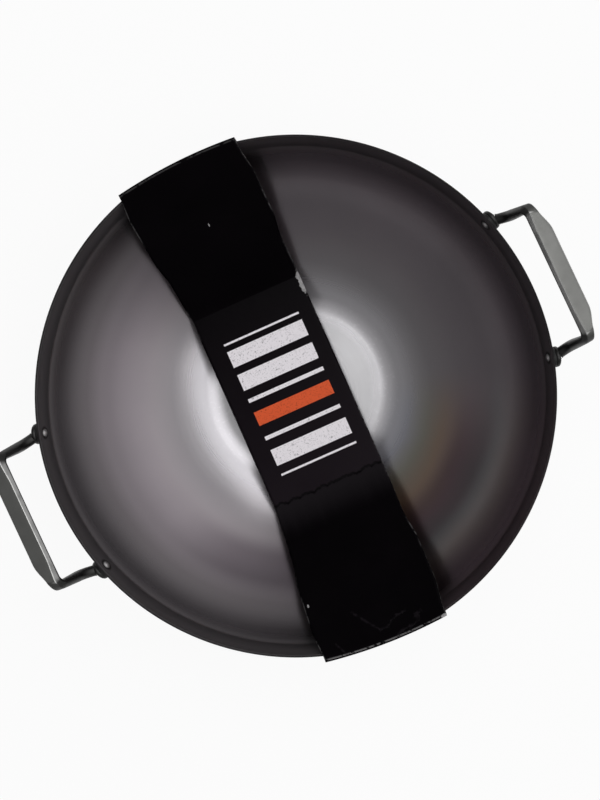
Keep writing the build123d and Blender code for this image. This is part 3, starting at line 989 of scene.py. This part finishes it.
def card_material():
    """Black printed board, semi-gloss, with worn folds, a block of plain bars, a painted sheen on the middle
    panel and painted shade in the lower crease.
    """
    n = Nodes("sleeve_card")
    vector, x, y, _ = n.place()
    u, v = across_and_along(n, x, y)
    cloud = n.noise(vector, "card_cloud")
    fibre = n.noise(vector, "card_fibre")
    fleck = n.noise(vector, "card_fleck")

    black = n.mix(cloud, *END_TONES)
    # Painted sheen: the middle panel's black is lighter than the ends'
    near_end = n.span(v, CREASES[0] - SHEEN_FADE_NEAR, CREASES[0])
    middle = n.product(near_end, n.fall(v, CREASES[0], CREASES[1] + SHEEN_FADE_FAR, False))
    black = n.mix(middle, black, n.mix(cloud, *MIDDLE_PANEL_SHEEN_TONES))
    wander = n.noise(n.combine(n.product(u, WANDER_SCALE), 0.0, 0.0), "crease_wander")
    off_crease = n.minus(v, CREASES[0] + CREASE_SHIFT)
    off_crease = n.total(off_crease, n.swing(wander, WANDER))
    # Painted sheen below the lower crease
    sheen = n.product(n.math("LESS_THAN", off_crease, 0.0), n.span(off_crease, *SHEEN_REACH))
    black = n.mix(n.product(sheen, SHEEN_STRENGTH), black, SHEEN_TONE)
    dent = n.fall(n.math("ABSOLUTE", off_crease), *DENT_REACH)
    # Painted shade: darker black in the crease
    black = n.mix(n.product(dent, CREASE_SHADE_STRENGTH), black, CREASE_SHADE_TONE)
    colour = card_print(n, u, v, vector, black)

    ends = n.math("ABSOLUTE", v)
    rising = n.span(ends, SHOULDER_START, SHOULDER_START + SHOULDER_RAMP, 0.0, 1.0, False)
    falling = n.fall(ends, SHOULDER_END - SHOULDER_RAMP, SHOULDER_END, False)
    shoulder = n.product(n.math("MINIMUM", rising, falling), SLEEVE_SHOULDER_HALF - SLEEVE_HALF)
    half = n.total(shoulder, SLEEVE_HALF)
    margin = n.minus(half, n.math("ABSOLUTE", n.minus(u, SLEEVE_OFFSET)))
    patchy = n.span(n.noise(vector, "rubbed_patch"), *PATCH_SPAN)
    rubbed = n.product(n.fall(margin, *RUB_REACH), n.span(fleck, *RUB_SPAN), patchy, RUB_STRENGTH)

    bow = n.math("POWER", n.minus(u, FOLD_APEX), 2.0)
    reach = n.math("SQRT", n.minus(FOLD_RADIUS**2, bow))
    reach = n.total(reach, RIM_RADIUS + SLEEVE_CLEARANCE - FOLD_RADIUS)
    off_fold = n.math("ABSOLUTE", n.minus(n.minus(reach, ends), FOLD_WEAR_INSET))
    lower_end = n.span(v, -MM, MM, *FOLD_WEAR_STRENGTHS)
    folded = n.product(n.fall(off_fold, *FOLD_WEAR_REACH), n.span(fleck, *FOLD_WEAR_SPAN), lower_end)
    colour = n.mix(n.math("MAXIMUM", rubbed, folded), colour, PAPER)

    for middle_u, middle_v, reach_u, reach_v in CHIPS:
        near_u = n.math("DIVIDE", n.minus(u, middle_u), reach_u)
        near_v = n.math("DIVIDE", n.minus(v, middle_v), reach_v)
        apart = n.total(n.product(near_u, near_u), n.product(near_v, near_v))
        torn = n.fall(n.total(apart, n.swing(fleck, CHIP_RAGGEDNESS)), *CHIP_EDGE)
        colour = n.mix(n.product(torn, n.span(fleck, *CHIP_SPAN)), colour, PAPER)

    crumple = n.product(dent, -1.0)
    waver = n.swing(n.noise(vector, "scratch_waver"), WANDER)
    bent_u, bent_v = n.total(u, waver), n.minus(v, waver)
    for start, end in SCRATCHES:
        line = n.fall(from_segment(n, bent_u, bent_v, start, end), *SCRATCH_REACH)
        colour = n.mix(n.product(line, n.span(fleck, *SCRATCH_SPAN)), colour, SCRATCH_TONE)
        crumple = n.total(crumple, line)

    normal = n.bump(cloud, "card_waves")
    normal = n.bump(crumple, "card_creases", Normal=normal)
    normal = n.bump(fibre, "card_fibre", Normal=normal)
    rough = n.clouded(cloud, *CARD_ROUGHNESS)
    return n.finish(Base_Color=colour, Roughness=rough, Normal=normal, Specular_IOR_Level=CARD_SPECULAR)


def card_back_material():
    """The unprinted side of the board, pale and fibrous."""
    n = Nodes("sleeve_card_back")
    vector = n.vector()
    fibre = n.noise(vector, "back_fibre")
    cloud = n.noise(vector, "back_cloud")
    colour = n.mix(fibre, *BACK_TONES)
    colour = n.mix(n.clouded(cloud, 0.0, BACK_TINT_STRENGTH), colour, BACK_TINT)
    return n.finish(Base_Color=colour, Roughness=BACK_ROUGHNESS, Normal=n.bump(fibre, "back_fibre"))


def paper_edge_material():
    """The board's cut edges: black ink worn through to the pale core."""
    n = Nodes("sleeve_paper_edge")
    fleck = n.noise(n.vector(), "edge_fleck")
    colour = n.mix(n.span(fleck, *CUT_EDGE_SPAN), *CUT_EDGE_TONES)
    return n.finish(Base_Color=colour, Roughness=CUT_EDGE_ROUGHNESS, Normal=n.bump(fleck, "edge_fleck"))


def dress(obj, body, slot, *materials):
    """Gives a piece its materials and body; the slot is not used."""
    for material in materials:
        obj.data.materials.append(material)
    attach(obj, body)


def mix_shaders(tree, output, share, first, second):
    """Mixes two shaders by a share, for the output."""
    mixer = tree.nodes.new("ShaderNodeMixShader")
    for socket, source in zip(mixer.inputs, (share, first.outputs[0], second.outputs[0])):
        tree.links.new(source, socket)
    tree.links.new(mixer.outputs[0], tree.nodes[output].inputs["Surface"])


def make_floor():
    """A pale floor that shows white and keeps the object's shadow."""
    corners = [(a * FLOOR_HALF, b * FLOOR_HALF, 0) for a, b in ((-1, -1), (1, -1), (1, 1), (-1, 1))]
    floor = new_object("floor", corners, [(0, 1, 2, 3)])
    floor.location.z = -FLOOR_DROP
    n = Nodes("floor_white")
    n.finish(Base_Color=FLOOR_TONE, Roughness=FLOOR_ROUGHNESS)
    path = n.tree.nodes.new("ShaderNodeLightPath")
    seen = n.math("MAXIMUM", path.outputs["Is Camera Ray"], path.outputs["Is Glossy Ray"])
    seen = n.math("MAXIMUM", seen, path.outputs["Is Transmission Ray"])
    glow = n.add("ShaderNodeEmission", Color=WHITE, Strength=1.0)
    mix_shaders(n.tree, "Material Output", n.product(seen, FLOOR_GLOW), n.shader, glow)
    floor.data.materials.append(n.material)


def add_softbox():
    """A soft rectangular lamp that faces a point."""
    lamp = bpy.data.lights.new("overhead_box", "AREA")
    lamp.shape = "RECTANGLE"
    lamp.size, lamp.size_y = SOFTBOX_WIDTH, SOFTBOX_HEIGHT
    lamp.energy = SOFTBOX_POWER
    obj = bpy.data.objects.new("overhead_box", lamp)
    obj.location = SOFTBOX_PLACE
    obj.rotation_euler = (Vector(SOFTBOX_TARGET) - Vector(SOFTBOX_PLACE)).to_track_quat("-Z", "Y").to_euler()
    bpy.context.scene.collection.objects.link(obj)


def make_lights():
    """A softbox overhead, off towards the right handle, in a dim room that is brighter on that side."""
    add_softbox()
    world = bpy.data.worlds.new("room")
    world.use_nodes = True
    bpy.context.scene.world = world
    tree = world.node_tree
    nodes, links = tree.nodes, tree.links
    background = nodes["Background"]
    direction = nodes.new("ShaderNodeTexCoord")
    parts = nodes.new("ShaderNodeSeparateXYZ")
    links.new(direction.outputs["Generated"], parts.inputs[0])
    ramps = []
    for shares in (DIM_SIDE_SHARES, BRIGHT_SIDE_SHARES):
        ramp = nodes.new("ShaderNodeValToRGB")
        ramp.color_ramp.interpolation = "EASE"
        stops = [(height, (strength, strength, strength)) for height, strength in shares]
        set_stops(ramp.color_ramp.elements, stops)
        links.new(parts.outputs[2], ramp.inputs[0])
        ramps.append(ramp.outputs[0])
    side = nodes.new("ShaderNodeMapRange")
    side.interpolation_type = "SMOOTHSTEP"
    side.inputs["From Min"].default_value = BRIGHT_SIDE_FROM
    side.inputs["From Max"].default_value = BRIGHT_SIDE_FULL
    links.new(parts.outputs[0], side.inputs[0])
    room = nodes.new("ShaderNodeMix")
    room.data_type = "RGBA"
    for index, socket in ((0, side.outputs[0]), (6, ramps[0]), (7, ramps[1])):
        links.new(socket, room.inputs[index])
    links.new(room.outputs[2], background.inputs["Color"])
    white = nodes.new("ShaderNodeBackground")
    white.inputs["Color"].default_value = WHITE
    path = nodes.new("ShaderNodeLightPath")
    mix_shaders(tree, "World Output", path.outputs["Is Camera Ray"], background, white)


def make_camera():
    """A camera nearly straight above the rim, as in the photograph."""
    camera = bpy.data.cameras.new("camera")
    camera.lens = FOCAL_PIXELS * camera.sensor_width / IMAGE_HEIGHT
    camera.shift_x = -CENTRE_SHIFT_PIXELS[0] / IMAGE_HEIGHT
    camera.shift_y = CENTRE_SHIFT_PIXELS[1] / IMAGE_HEIGHT
    camera.clip_start = CLIP_START
    obj = bpy.data.objects.new("camera", camera)
    obj.location = CAMERA_PLACE
    obj.rotation_euler = Euler(CAMERA_TURN, "XYZ")
    bpy.context.scene.collection.objects.link(obj)
    bpy.context.scene.camera = obj


bpy.context.scene.view_settings.view_transform = "Standard"
make_camera()
make_lights()
make_floor()

bowl = make_bowl()
dress(bowl, "wok", "bowl_steel", bowl_material(), bowl_outside_material())
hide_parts("bowl")

forged = forged_material()
for side, side_name in ((1, "right"), (-1, "left")):
    handle = make_handle(side, f"handle_{side_name}_forged")
    dress(handle, "wok", "forged_steel", forged)
    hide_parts(f"handle_{side_name}")

for prefix, material in (("seat_washer", washer_material()), ("rivet", rivet_material())):
    for name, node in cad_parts.items():
        if name.startswith(prefix):
            node.data.materials.clear()
            node.data.materials.append(material)

sleeve = make_sleeve()
dress(sleeve, "card_sleeve", "sleeve_card", card_material(), paper_edge_material(), card_back_material())
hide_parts("sleeve")
